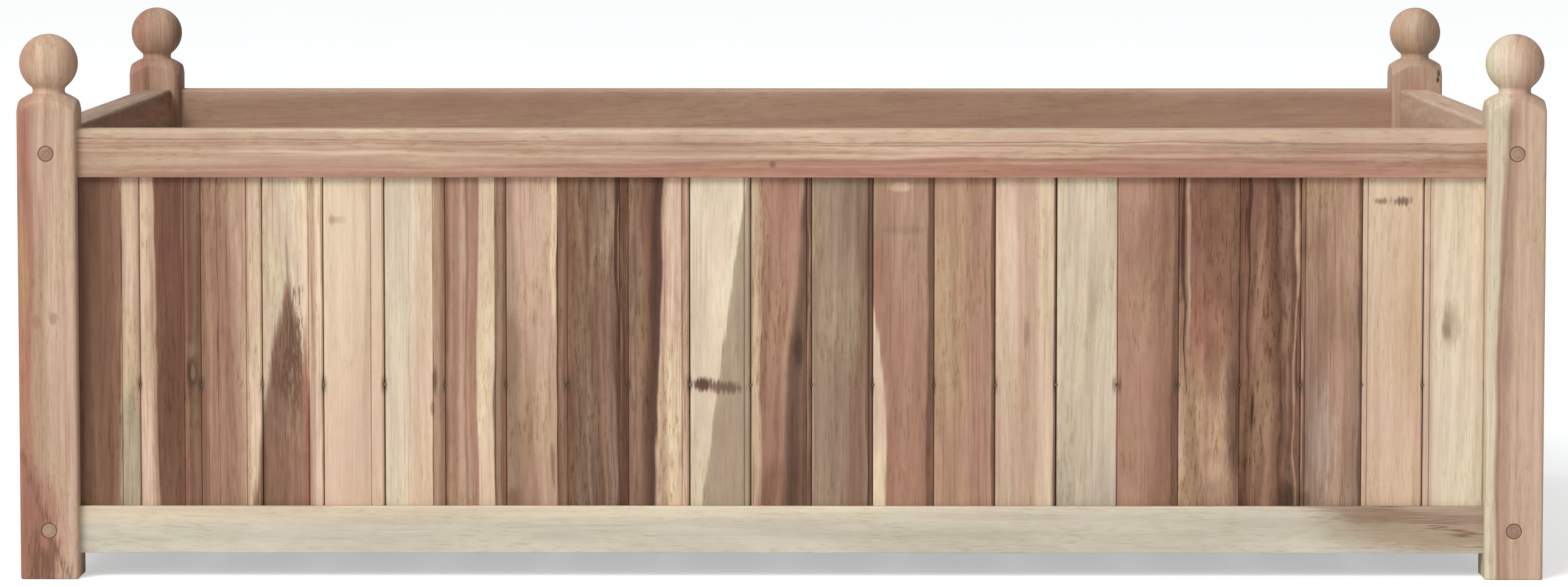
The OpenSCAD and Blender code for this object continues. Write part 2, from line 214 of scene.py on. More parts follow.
class Tree:
    """The node tree of a material or a world, with short calls for the nodes that are needed here."""

    def __init__(self, owner, shader="Principled BSDF"):
        owner.use_nodes = True
        self.owner = owner
        self.nodes = owner.node_tree.nodes
        self.links = owner.node_tree.links
        self.shader = self.nodes[shader]

    def add(self, kind, **settings):
        node = self.nodes.new(kind)
        for name, value in settings.items():
            setattr(node, name, value)
        return node

    def put(self, value, socket):
        if isinstance(value, Field):
            self.links.new(value.socket, socket)
        else:
            socket.default_value = value

    def fill(self, node, values, output=0):
        """Puts values into a node's first inputs and returns one of its outputs."""
        for value, socket in zip(values, node.inputs):
            self.put(value, socket)
        return Field(self, node.outputs[output])

    def object_place(self):
        return Field(self, self.add("ShaderNodeTexCoord").outputs["Object"])

    def distance(self, place, axis, start):
        """How far a place lies beyond start along an axis, in millimetres."""
        node = self.add("ShaderNodeVectorMath", operation="DOT_PRODUCT")
        along = self.fill(node, (place, axis), output=1)
        return along.math("MULTIPLY_ADD", 1 / MM, -start / MM)

    def combine(self, x, y, z):
        return self.fill(self.add("ShaderNodeCombineXYZ"), (x, y, z))

    def noise(self, point, size, shift=(0, 0, 0), detail=2.0, roughness=0.5):
        """Smooth noise, about 0.5 on average, whose features have the given size along each axis."""
        scale = Vector([1 / length for length in size])
        node = self.add("ShaderNodeVectorMath", operation="MULTIPLY_ADD")
        moved = self.fill(node, (point, scale, shift))
        texture = self.add("ShaderNodeTexNoise")
        self.put(moved, texture.inputs["Vector"])
        texture.inputs["Scale"].default_value = 1.0
        texture.inputs["Detail"].default_value = detail
        texture.inputs["Roughness"].default_value = roughness
        return Field(self, texture.outputs[0])

    def mix(self, factor, first, second, blend="MIX"):
        """Mixes two colours, each a tone, a Field or a plain colour."""
        node = self.add("ShaderNodeMix", data_type="RGBA", blend_type=blend)
        self.put(factor, node.inputs[0])
        self.put(first, node.inputs[6])
        self.put(second, node.inputs[7])
        return Field(self, node.outputs[2])

    def attribute(self, name):
        node = self.add("ShaderNodeAttribute", attribute_name=name)
        return Field(self, node.outputs["Fac"])

    def surface(self, **values):
        """Sets the shader's inputs, with _ for each space in their names."""
        for name, value in values.items():
            self.put(value, self.shader.inputs[name.replace("_", " ")])

    def seen(self):
        """1 where the camera itself looks, and 0 for light."""
        return Field(self, self.add("ShaderNodeLightPath").outputs["Is Camera Ray"])

    def bump(self, height, strength):
        """Relief whose height is in millimetres."""
        node = self.add("ShaderNodeBump")
        node.inputs["Strength"].default_value = strength
        node.inputs["Distance"].default_value = MM
        self.put(height, node.inputs["Height"])
        self.surface(Normal=Field(self, node.outputs[0]))


def linear(code, share=1.0):
    """A share of a colour that is given by its hexadecimal sRGB code."""
    values = [int(code[i:i + 2], 16) / 255 for i in (0, 2, 4)]
    curved = [v / 12.92 if v <= 0.04045 else ((v + 0.055) / 1.055) ** 2.4 for v in values]
    return (*[v * share for v in curved], 1.0)


TONES = {
    "milk": "e6d8c0", "cream": "e3cfb4", "blush": "dcc0a8", "bone": "d8ccb4", "fog": "ccc7b6",
    "sage": "b0a78f", "ash": "bdb1a1", "sand": "c8ac96", "tan": "b3937d", "honey": "b8956f",
    "drab": "ad9983", "taupe": "9a8372", "olive": "998470", "rose": "a67f6c", "brick": "ab7865",
    "brown": "866550", "russet": "815b4a", "umber": "664a3a", "soot": "4a362a",
}

# The tones are how the wood looks under the lights of this studio, which lift it by this much
LIFT = 1.05
TONE = {name: linear(code, 1 / LIFT) for name, code in TONES.items()}


# ---- What a piece of wood shows ----

# Marks on wood. Places, sizes, softness and strength are in percent: of the face's width across the grain,
# and of the piece's length along it. A band runs along the grain. Each of its edges is one number, or three
# for the low end, the middle and the high end of the piece, and may lie off the face. A spot is an oval, and
# ragged says how far the grain frays it.
Band = namedtuple("Band", "tone left right soft strength", defaults=(3, 100))
Spot = namedtuple("Spot", "tone middle radii ragged strength soft", defaults=(0.5, 100, 50))


class Look:
    """The tones of one piece: its low and high end, then bands and spots laid over them. figure says
    how strong its grain is, and pith is how far across (in widths) and behind the face (in mm) it grew."""

    def __init__(self, low, high, *marks, figure=1.0, knots=(), pith=None):
        self.low = TONE[low]
        self.high = TONE[high]
        self.marks = list(marks)
        self.figure = figure
        self.knots = knots
        self.pith = pith


class Stock:
    """The block that a piece is cut from: its axes across, through and along the grain, and where it
    starts and how long it is along each."""

    def __init__(self, across, through, along, corners):
        self.axes = (across, through, along)
        reaches = [[axis.dot(corner) for corner in corners] for axis in self.axes]
        self.starts = [min(reach) for reach in reaches]
        self.sizes = [(max(reach) - min(reach)) / MM for reach in reaches]


def edge_curve(field, edge):
    """A band's edge as a function of the place along the piece."""
    if not isinstance(edge, tuple):
        return edge / 100
    low, middle, high = [percent / 100 for percent in edge]
    slope = 4 * middle - 3 * low - high
    bend = 2 * low + 2 * high - 4 * middle
    return (field * bend).math("ADD", slope).math("MULTIPLY_ADD", field, low)


def band_mask(u, v, band):
    soft = band.soft / 100
    left = (u - edge_curve(v, band.left)).ramp(-soft, soft)
    right = (u - edge_curve(v, band.right)).ramp(soft, -soft)
    return left * right * (band.strength / 100)


def spot_mask(u, v, ragged, spot):
    x = (u - spot.middle[0] / 100) * (100 / spot.radii[0])
    y = (v - spot.middle[1] / 100) * (100 / spot.radii[1])
    reach = (x * x + y * y).math("SQRT") + ragged * spot.ragged
    soft = spot.soft / 100
    return reach.ramp(1 + soft, 1 - soft) * (spot.strength / 100)


# Tints of the grain, by which the tone is multiplied
PLAIN = (1.0, 1.0, 1.0)
PALE_BAND = (1.05, 1.05, 1.05)
DARK_BAND = (0.86, 0.83, 0.81)
PALE_STREAK = (1.09, 1.09, 1.09)
DARK_STREAK = (0.86, 0.82, 0.79)
MAUVE = (0.99, 0.94, 0.97)
OLIVE = (0.98, 1.00, 0.94)
MOTTLE = (0.93, 0.91, 0.90)
FLECK = (0.80, 0.72, 0.66)
FIBRE = (0.93, 0.91, 0.89)
LINE = (0.78, 0.70, 0.64)
PORE = (0.90, 0.87, 0.84)
# This tint pales rubbed arrises, as wear, and on the boards' left chamfers also as painted highlight
WORN_AND_LIT = (1.08, 1.08, 1.07)
# This colour is painted shade, with some dirt, for grooves, joints, bead lines, plug rims, post corners and
# board edges against the posts
SHADE_AND_GRIME = linear("46301f")


# How far the grain wanders: a slow sway in shares of the width, a ripple in millimetres, and the share
# of the way to a knot's middle by which the knot pushes it out
SWAY = 0.14
RIPPLE = 5.0
KNOT_PULL = 0.7


def strengthened(tint, share):
    """A tint whose distance from plain is multiplied by a share, as a colour."""
    return (*[1 + (value - 1) * share for value in tint], 1.0)


def wood(name, stock, look, seed):
    """Solid wood, sawn so that the growth rings cross the faces as they would on the real piece."""
    chance = random.Random(seed)
    shift = Vector([chance.uniform(-50, 50) for _ in range(3)])
    tree = Tree(bpy.data.materials.new(name))
    place = tree.object_place()
    a, d, l = [tree.distance(place, axis, start) for axis, start in zip(stock.axes, stock.starts)]
    width, _, length = stock.sizes
    v = l * (1 / length)
    block = tree.combine(a, d, l)
    sway = tree.noise(block, (60, 60, 280), shift, detail=1.0) - 0.5
    ripple = tree.noise(block, (16, 30, 60), -shift, detail=1.0) - 0.5

    def tinted(colour, amount, tint, other=PLAIN, share=look.figure):
        """A colour multiplied by a tint where amount is 1, and by the other where it is 0."""
        mixed = tree.mix(amount, strengthened(other, share), strengthened(tint, share))
        return tree.mix(1.0, colour, mixed, "MULTIPLY")

    # Grain sways and ripples, and flows round each knot
    flow = a + sway * (SWAY * width) + ripple * (RIPPLE * look.figure)
    for knot in look.knots:
        middle = knot.middle[0] / 100 * width
        x = (a - middle) * (45 / (knot.radii[0] * width))
        y = (v - knot.middle[1] / 100) * (45 / knot.radii[1])
        near = (x * x + y * y).math("MULTIPLY", -1.0).math("EXPONENT")
        flow = flow - (a - middle) * near * KNOT_PULL

    # Growth rings about a pith that lies behind the face and leans along the grain
    pith_a = width * chance.uniform(-0.6, 1.6)
    pith_d = chance.uniform(35, 90)
    if look.pith:
        pith_a = width * look.pith[0]
        pith_d = look.pith[1]
    lean = chance.uniform(-0.02, 0.02)
    x = flow - pith_a
    y = d + l * lean + pith_d
    ring = (x * x + y * y).math("SQRT")
    grain = tree.combine(ring, d, l)
    broad = tree.noise(grain, (12, 70, 380), shift, detail=2.0, roughness=0.55)
    fine = tree.noise(grain, (2.6, 20, 130), shift, detail=3.0, roughness=0.65)
    speck = tree.noise(block, (1.7, 4, 15), shift, detail=3.0, roughness=0.6)
    fibre = tree.noise(block, (0.55, 0.7, 20), shift, detail=2.0)
    cloud = tree.noise(block, (26, 40, 75), -shift, detail=2.0)

    # Heartwood, sapwood and the marks on them, feathered along the grain
    feather = tree.noise(block, (1.5, 8, 80), -shift, detail=2.0) - 0.5
    u = flow * (1 / width) + (fine - 0.5) * 0.06
    w = v + feather * 0.13
    colour = tree.mix(v.ramp(0.05, 0.95), look.low, look.high)
    ragged = broad + speck - 1.0
    for mark in look.marks:
        mask = band_mask(u, w, mark) if isinstance(mark, Band) else spot_mask(u, v, ragged, mark)
        colour = tree.mix(mask, colour, TONE[mark.tone])
    for knot in look.knots:
        halo = Spot("brown", knot.middle, [1.7 * r for r in knot.radii], 1.0, 30, soft=70)
        for mark in (halo, knot):
            colour = tree.mix(spot_mask(u, v, ragged, mark), colour, TONE[mark.tone])

    # Clouds, bands, streaks, mottling, flecks, fibres, dark lines and pores
    colour = tinted(colour, cloud.ramp(0.35, 0.65), OLIVE, MAUVE, min(look.figure, 1.0))
    colour = tinted(colour, broad.ramp(0.36, 0.64), DARK_BAND, PALE_BAND)
    colour = tinted(colour, fine.ramp(0.36, 0.64), DARK_STREAK, PALE_STREAK)
    mottle = tree.noise(block, (6, 10, 15), -shift, detail=3.0, roughness=0.6)
    colour = tinted(colour, mottle.ramp(0.42, 0.68), MOTTLE)
    colour = tinted(colour, speck.ramp(0.52, 0.64) * cloud.ramp(0.38, 0.58), FLECK)
    colour = tinted(colour, fibre.ramp(0.45, 0.75), FIBRE, share=1.0)
    lines = tree.noise(block, (1.0, 10, 110), shift * 2, detail=1.0).ramp(0.60, 0.72) * cloud.ramp(0.60, 0.42)
    colour = tinted(colour, lines, LINE)
    pores = tree.noise(block, (0.8, 0.9, 9), -shift, detail=1.0).ramp(0.66, 0.76)
    colour = tinted(colour, pores, PORE, share=1.0)

    # Arrises are rubbed pale, as wear, and the boards' left chamfers also as painted highlight. Grooves,
    # joints, bead lines, plug rims, post corners and the board edges against the posts are darkened as
    # painted shade, in the grooves and joints with some dirt
    edge = tree.attribute("edge")
    colour = tinted(colour, edge.ramp(0.0, 1.0), WORN_AND_LIT, share=1.0)
    colour = tree.mix(edge.ramp(0.0, -1.0) * 0.55, colour, SHADE_AND_GRIME)

    rough = fine.math("MULTIPLY_ADD", 0.3, 0.45)
    tree.surface(Base_Color=colour, Roughness=rough, Specular_IOR_Level=0.25)
    tree.bump(fine * 0.10 + fibre * 0.07 - pores * 0.08, 0.5)
    return tree.owner


def steel(name, seed, dulled):
    """Stainless steel with a brushed grain, and a brown tarnish where it meets the wood. How much of it
    is dulled runs from 0 to 1."""
    chance = random.Random(seed)
    shift = Vector([chance.uniform(-50, 50) for _ in range(3)])
    tree = Tree(bpy.data.materials.new(name))
    place = tree.object_place()
    point = tree.combine(*[tree.distance(place, axis, 0) for axis in (EAST, NORTH, UP)])
    brushed = tree.noise(point, (0.15, 0.15, 2.5), shift, detail=3.0)
    tarnish = tree.noise(point, (2.5, 2.5, 2.5), shift).ramp(0.45 - 0.45 * dulled, 0.7 - 0.35 * dulled)
    bright = tree.mix(brushed, linear("8e9092"), linear("c0c2c4"))
    colour = tree.mix(tarnish * 0.8, bright, linear("4a3a2f"))
    rough = tarnish.math("MULTIPLY_ADD", 0.35, 0.3)
    tree.surface(Base_Color=colour, Roughness=rough, Metallic=tarnish.math("MULTIPLY_ADD", -0.8, 0.9))
    tree.bump(brushed * 0.03, 0.4)
    return tree.owner


# ---- Looks of the front boards, from left to right ----

# Height of the pins on the boards, in percent, and the dark marks that they have left on both edges of each
PIN_PLACE = 100 * (PIN_Z - BOTTOM_RAIL[1]) / (TOP_RAIL[0] - BOTTOM_RAIL[1])
PIN_SMUDGES = [Spot("soot", (edge, PIN_PLACE), (2.8, 2.2), 0.9, 60, soft=90) for edge in (0, 99.5)]

# Board 1's umber band along its left edge is painted shadow of the left post. The umber or brown bands from
# about 82 to 96 percent to past the right edge of boards 6 to 9, 12 to 16, 18, 19 and 21 are painted shade
# and dirt beside their right joints
BOARD_LOOKS = [
    Look("brown", "brown", Band("umber", -20, (16, 20, 34), 12, 60), Band("rose", 56, 66, 3, 50),
      Band("sand", 69, 120, 1), Band("cream", 74, 94, 4, 70), Spot("sage", (84, 10), (20, 28), 0.5, 90, 25)),
    Look("russet", "russet", Band("umber", 30, 66, 15, 25), Band("sand", -20, (34, 25, 20), 2),
      Band("cream", 3, (26, 17, 13), 5, 60), Band("rose", 70, 80, 2, 70), Band("brown", 82, 120),
      Band("olive", 88, 97, 4, 50), Spot("drab", (85, 47), (6, 3), 0.5, 50),
      Spot("umber", (87, 40.2), (10.5, 5), 0.8, 95, 40), Spot("taupe", (88.5, 40.8), (4.5, 2.6), 0.8, 80, 40),
      figure=1.1),
    Look("tan", "tan", Band("rose", -20, (60, 50, 35), 10, 60), Band("brown", -20, 10, 6, 60),
      Band("umber", 27, 28.5, 1, 70), Spot("umber", (27.5, 50), (2, 5), 2, 60),
      Band("sand", (72, 62, 40), 120, 12), Band("sand", 72, 120, 2), Band("cream", 79, 120, 2, 70),
      Band("tan", 77.5, 79, 0.8, 60), Band("tan", 86, 87.5, 0.8, 40),
      Band("brown", (84, 116, 150), 160, 5, 90)),
    Look("cream", "cream", Band("bone", 5, 60, 12, 70), Spot("drab", (41, 74), (2, 9), 0.4, 70, 70),
      Band("taupe", (-14, 17, 86), (110, 61, 10), 5, 80), Band("brown", (-10, 20.5, 91), (100, 56, 6), 4, 85),
      Spot("umber", (34, 36), (20, 18), 4.5, 80, 35), Spot("sand", (32, 28), (14, 14), 5, 35, 30),
      Spot("rose", (40, 12), (30, 16), 1.6, 50, 90), Band("umber", -20, (6, -2, -20), 3, 70),
      Spot("brick", (69, 25), (5, 30), 0.7, 90, 40), Band("sand", 76.5, 120, 1.5), Band("cream", 86, 97)),
    Look("blush", "cream", Band("sand", 48, 64, 12, 30), Band("sand", 66, 78, 4, 80),
      Band("blush", 80, 120, 2, 50), Spot("tan", (14, 87), (5, 1.4), 1.4, 70, 60),
      Spot("tan", (26, 87), (10, 1), 1.6, 40, 60), figure=0.35),
    Look("cream", "milk", Band("bone", 0, 40, 6, 80), Band("drab", 41, 42.5, 0.8, 40),
      Band("blush", (45, 52, 58), 80, 10, 70), Band("tan", 80, 120, 1.5), Band("brown", 91, 120, 4, 70),
      Spot("umber", (83.5, 38.5), (3.5, 4), 1.2, 80), Spot("brown", (80, 29.5), (3.5, 2), 1.2, 60),
      figure=0.55),
    Look("tan", "tan", Band("brown", -20, 8, 4), Band("rose", 10, 24, 5, 70), Band("brown", 34, 38, 2, 60),
      Band("sand", 25, 34, 3, 50), Band("rose", 42, 54, 3, 80), Band("cream", (56, 54, 54), (82, 80, 80), 2),
      Band("brown", 82, 120, 1.5), Band("drab", 84, 92, 2, 60), figure=0.8),
    Look("tan", "sand", Band("taupe", -20, (30, 20, 10), 8, 70), Band("sand", (50, 40, 30), 70, 10, 80),
      Band("rose", (46, 30, 20), (54, 36, 24), 3, 40), Spot("brown", (10, 46), (14, 10), 2.4, 50),
      Spot("brown", (12, 2), (12, 3), 2.4, 70), Band("sand", 74, 83.5, 1.2, 50),
      Spot("cream", (79, 84), (5.5, 30), 0.3, 90, 30), Spot("umber", (76, 12), (3, 6), 1.8, 60),
      Band("brown", 84, 120, 1.5), Band("umber", 84, 86, 1.2, 50), Band("olive", 90, 96, 3, 50)),
    Look("umber", "brown", Band("olive", 14, 34, 8, 40), Band("brown", 0, 10, 4, 70),
      Band("taupe", (36, 32, 42), (80, 79, 74), 5, 65), Band("brown", (50, 46, 55), (66, 62, 64), 6, 60),
      Band("drab", (36, 32, 42), (40, 36, 49), 3, 35), Spot("drab", (60, 86), (16, 13), 0.5, 55, 30),
      Band("soot", (81.5, 81, 77), (83.5, 83, 89), 1.2, 90), Band("rose", 84.5, 87, 1, 70),
      Band("umber", 90, 120, 4, 70), figure=1.6),
    Look("brown", "brown", Band("taupe", 3, 22, 5, 50), Band("umber", 10, 14, 2, 40),
      Band("umber", (28, 30, 34), 60, 7), Band("soot", (40, 38, 42), (50, 52, 56), 4, 65),
      Band("sand", (47, 50, 55), 120), Band("cream", 60, (90, 88, 84), 5, 60), Band("tan", 90.5, 92.5, 1, 50),
      figure=1.3),
    Look("cream", "milk", Band("bone", -20, 30, 14, 70), Band("sage", (20, 54, 93), 120, 2),
      Band("drab", (22, 56, 95), 120, 3, 80), Band("drab", 85, 94, 2, 60),
      Spot("umber", (18, PIN_PLACE), (17, 2), 2.2),
      Spot("umber", (50, PIN_PLACE - 0.8), (30, 1.6), 2.8, 80, 60), figure=0.6),
    Look("tan", "tan", Band("rose", 10, (46, 60, 80), 10, 80), Band("sand", -20, 17, 1.5),
      Band("cream", 3, 13, 3, 70), Spot("brown", (45, 4), (40, 10), 0.9, 60),
      Band("umber", (50, 64, 86), (92, 92, 100), 6, 70), Band("soot", (62, 70, 92), (80, 84, 90), 5, 55),
      Spot("soot", (78, 48), (6, 5), 1.6, 90), Band("umber", 85, 120, 2, 80), Band("tan", 92, 95, 1, 40),
      figure=1.2),
    Look("taupe", "olive", Band("drab", 10, 45, 15, 50), Band("brown", (50, 70, 90), 92, 12, 60),
      Band("drab", -20, 5, 2, 70), Spot("drab", (55, 62), (30, 16), 1.4, 50), Band("umber", 90, 120, 2, 75),
      figure=0.85),
    Look("rose", "tan", Band("rose", -20, (120, 75, -60), 25, 60), Band("cream", -20, (22, 10, -60), 3, 90),
      Spot("blush", (42, 97), (17, 1.2), 1.5, 70), Spot("taupe", (50, 84), (42, 1.2), 1.6, 60),
      Band("umber", 88, 120, 2, 75), figure=0.8),
    Look("tan", "tan", Band("honey", -20, 50, 20, 35), Band("drab", 10, 30, 12, 30),
      Band("rose", 55, 86, 10, 50), Band("umber", 91, 120, 1.5, 80), figure=0.9),
    Look("sand", "blush", Band("bone", 10, 30, 12, 30), Band("sand", 40, 66, 8, 50),
      Band("cream", 69, 120, 5, 70), Spot("taupe", (52, 53), (6, 4.5), 1.8, 70),
      Band("umber", 96, 120, 2, 70), figure=0.7),
    Look("ash", "bone", Band("milk", (35, 30, 30), (42, 60, 80), 12, 70), Band("ash", 62, 66, 2, 60),
      Band("ash", 20, 23, 2, 50), Spot("bone", (50, 48), (80, 40), 0.5, 90, 40),
      Spot("cream", (48, 60), (5, 12), 2, 80), Spot("drab", (62, 62), (10, 10), 2.6, 40), figure=0.7),
    Look("rose", "rose", Band("tan", 5, 50, 15, 50), Band("brown", 62, 120, 18, 60),
      Spot("brown", (42, 80), (10, 10), 2.2, 50), Band("umber", 92, 120, 2, 60), figure=0.95),
    Look("sand", "russet", Spot("honey", (35, 22), (40, 28), 0.8, 30, 70),
      Spot("sand", (35, 5), (35, 16), 0.8, 50, 70), Spot("brick", (45, 55), (30, 14), 1.8, 60, 80),
      Band("brown", (105, 84, 12), 120, 15, 60), Band("umber", (44, 44, 42), (46, 48, 52), 4, 35),
      Band("soot", (30, 9, 10), (20, 12, 15), 1.2, 85), Band("sand", (6, 14, 16), (10, 18, 21), 2, 60),
      Spot("brown", (55, 42), (10, 10), 2.4, 60), Band("umber", 90, 120, 6, 50),
      Spot("umber", (90, 26), (14, 18), 1.8, 80), figure=1.7),
    Look("brown", "russet", Band("tan", 20, (60, 50, 34), 10, 50), Band("umber", -20, (12, 5, 3), 5, 60),
      Band("soot", (26, 13, 10), (16, 15, 16), 1.5, 90), Spot("soot", (25, 29), (3, 6), 1.4, 90),
      Band("umber", (72, 58, 42), (78, 68, 60), 5, 55), Band("soot", (70, 62, 53), (76, 66, 58), 3, 50),
      Band("taupe", (84, 72, 66), (92, 84, 86), 4, 60), Band("umber", (80, 84, 80), 90, 4, 60),
      Spot("soot", (84, 2), (12, 5), 1.8, 70), Spot("sand", (93, 86), (4.5, 22), 0.5, 90, 40),
      Band("sand", 91.5, 95, 1.2, 60), figure=1.9),
    Look("taupe", "tan", Band("umber", -20, 6, 3, 50), Band("sand", -20, 1.5, 1, 60),
      Band("tan", 40, 80, 20, 70), Spot("ash", (30, 22), (18, 12), 2.8, 45),
      Spot("brown", (8, 80), (6, 10), 2.4, 70), Spot("brown", (30, 80), (12, 7), 3, 50, 90),
      Spot("brown", (55, 58), (20, 10), 3, 35, 90), Spot("umber", (10, 2), (10, 3), 2, 60),
      Band("umber", 93.5, 120, 2, 80), figure=1.05),
    Look("sand", "cream", Band("sand", -20, 9, 5, 70), Band("blush", 15, 120, 20, 70),
      Spot("honey", (76, 60), (18, 22), 1.8, 40, 70), Band("honey", 80, 95, 6, 30),
      Spot("brown", (30, 92.7), (14, 1), 3, 80, 60), Spot("umber", (62, 92.7), (16, 1.2), 3.2, 80, 60),
      figure=0.5),
    Look("bone", "cream", Band("sand", -20, 17, 3, 80), Band("milk", 25, 80, 15, 60),
      Spot("drab", (46, 56), (13, 6), 2.4, 55), Band("tan", 96, 120, 2, 60),
      Spot("taupe", (40, 56.5), (5, 3), 3, 50, 80), knots=[Spot("taupe", (39, 53), (2.8, 1.4), 3, 40, 90)],
      figure=0.5),
]
for board_look in BOARD_LOOKS:
    board_look.marks += PIN_SMUDGES

# The boards that are mostly heartwood, which the record has a slot for
HEARTWOOD = {1, 2, 3, 7, 9, 10, 12, 13, 15, 18, 19, 20, 21}

# How open the joints at the front are, from the left post to the right one, which also sets how dark they are
# painted as shade and dirt
FRONT_JOINTS = [
    1, 0.7, 0.2, 1.2, 1.2, 2, 0.4, 0.4, 0.1, 0.1, 1.6, 1.3,
    0.5, 0.7, 0.5, 0.9, 2, 0.6, 0.4, 0.2, 0.7, 0.5, 1.5, 1,
]

# On the balls, about 94 percent up, the darker rose, tan and taupe spots at the far right of the front left,
# front right and back right posts are painted shade of the balls' unlit sides, and the milk spot on the left
# of the front right post's ball and the blush spot at 30 percent on the back right post's are painted
# highlight
POST_LOOKS = {
    "front_left_post": Look("sand", "sand", Band("tan", -20, (60, 46, 64), 8, 75),
      Band("brick", -20, (28, 26, 28), 6, 85), Spot("honey", (10, 57), (7, 10), 0.8, 80),
      Spot("brick", (26, 7), (46, 13), 1.4, 85, 30), Band("umber", (86, -102, -290), (93, -95, -283), 3, 55),
      Spot("brown", (22, 10), (22, 10), 3, 50), Spot("umber", (44, 3), (20, 5), 3.4, 70),
      Spot("brick", (34, 47.5), (6, 1.4), 1.6, 70), Spot("taupe", (62, 48), (6, 1), 1.4, 70),
      Spot("blush", (42, 95), (100, 7.5), 0, 45, 30), Spot("blush", (42, 86), (5, 16), 0.4, 60),
      Spot("brick", (30, 97.5), (3, 3), 1.2, 40), Spot("rose", (98, 94), (26, 6), 0.3, 50, 60), figure=0.65,
      pith=(-1.2, 12)),
    "front_right_post": Look("sand", "sand", Band("bone", -20, (19, 18, 46), 4),
      Band("tan", (20, 19, 47), (38, 42, 64), 5, 75), Band("taupe", (22, 22, 52), (26, 27, 56), 2.5, 70),
      Band("blush", (55, 60, 80), 120, 6, 35), Spot("taupe", (34, 42), (10, 5), 2.4, 50),
      Spot("milk", (26, 94), (30, 7.5), 0.2, 85, 25), Spot("blush", (50, 94), (20, 7.5), 0.2, 50, 30),
      Spot("tan", (98, 94), (26, 6), 0.3, 60, 60), figure=0.6, pith=(2.4, 16)),
    "back_left_post": Look("tan", "tan", Band("brick", 16, 30, 5, 75), Band("rose", 0, 14, 5, 60),
      Band("sand", 48, 80, 10, 55), Spot("russet", (33, 83), (5, 5), 1.4, 70), Band("brown", 90, 120, 5, 60),
      figure=0.7, pith=(-1.5, 20)),
    "back_right_post": Look("tan", "sand", Band("tan", 62, 120, 14, 70),
      Spot("blush", (30, 95), (30, 6), 0.3, 35, 60), Spot("brick", (42, 83), (24, 4.5), 0.8, 40, 60),
      Spot("soot", (93, 86.2), (3, 0.7), 0.6, 90, 40), Spot("soot", (91, 84.8), (3, 0.6), 0.6, 90, 40),
      Spot("taupe", (90, 94), (40, 6), 0.3, 50, 60), figure=0.5, pith=(2, 20)),
}

RAIL_LOOKS = {
    "front_top_rail": Look("sand", "sand", Band("tan", -20, 80, 6, 40),
      Band("brick", -20, (4, 36, 58), 6, 55), Spot("brick", (14, 62), (14, 26), 1, 55, 60),
      Spot("rose", (8, 12), (16, 14), 1.2, 50, 60), Band("russet", (2, 30, 26), (-4, 35, 31), 3, 35),
      Band("sand", (10, 20, 40), (14, 24, 46), 3, 45), Band("rose", (50, 52, 16), (54, 57, 24), 2, 40),
      Spot("sand", (42, 93), (12, 3), 1.6, 60), Spot("blush", (70, 66), (20, 13), 0.5, 75, 40),
      Band("blush", (56, 40, 44), (62, 47, 52), 3, 60), Band("rose", (70, 66, 54), (73, 69, 57), 1.5, 55),
      Band("blush", (92, 88, 70), 120, 3, 40), Band("taupe", (80, 70, 70), (83, 73, 73), 1.2, 75),
      Band("taupe", (62, 66, 44), (64, 68, 46), 1.2, 50), Band("bone", (95, 93, 90), 120, 3, 25),
      Spot("blush", (84, 93), (13, 14), 0.3, 70, 30), Spot("umber", (26, 49.4), (7, 0.22), 0.6, 60, 60),
      figure=0.7),
    "back_top_rail": Look("tan", "tan", Band("tan", 10, 60, 20, 60), Band("sand", (80, 90, 75), 120, 10, 50),
      figure=0.5),
    "left_top_rail": Look("rose", "tan", Band("taupe", -20, (30, 45, 35), 15, 60),
      Band("ash", 94, 120, 3, 40)),
    "right_top_rail": Look("sand", "sand", Band("blush", (45, 55, 40), 120, 12, 80), figure=0.7),
    "front_bottom_rail": Look("bone", "fog", Band("fog", -20, (62, 70, 55), 12),
      Band("sage", (20, 34, 28), (34, 46, 38), 12, 25), Band("milk", (80, 84, 92), 120, 8, 40),
      Spot("drab", (85, 97.5), (75, 8.5), 0.9, 95, 35), Spot("brown", (82, 92.5), (14, 3.2), 1.8, 55, 60),
      Band("brown", (1030, 530, 26), (1050, 545, 42), 5, 80),
      Band("taupe", (360, 215, 62), (360, 215, 80), 6, 75), figure=0.45),
    "back_bottom_rail": Look("bone", "sand", Band("cream", 50, 120, 20, 60)),
    "left_bottom_rail": Look("bone", "bone", Band("sand", -20, 40, 20, 60)),
    "right_bottom_rail": Look("sand", "bone", Band("tan", 60, 120, 15, 50)),
}

PLUG_LOOK = Look("tan", "tan", Band("tan", 20, 70, 20, 60), Spot("taupe", (50, 50), (35, 35), 0.9, 80, 30),
    Spot("tan", (50, 50), (18, 18), 0.6, 70, 40), figure=0.7)
INNER_LOOK = Look("sand", "tan", Band("bone", 55, 120, 25, 60))


# ---- Mesh building ----

SMOOTH_BELOW = math.radians(34)
ARC_STEPS = 4
SUPPORT = 0.35 * MM


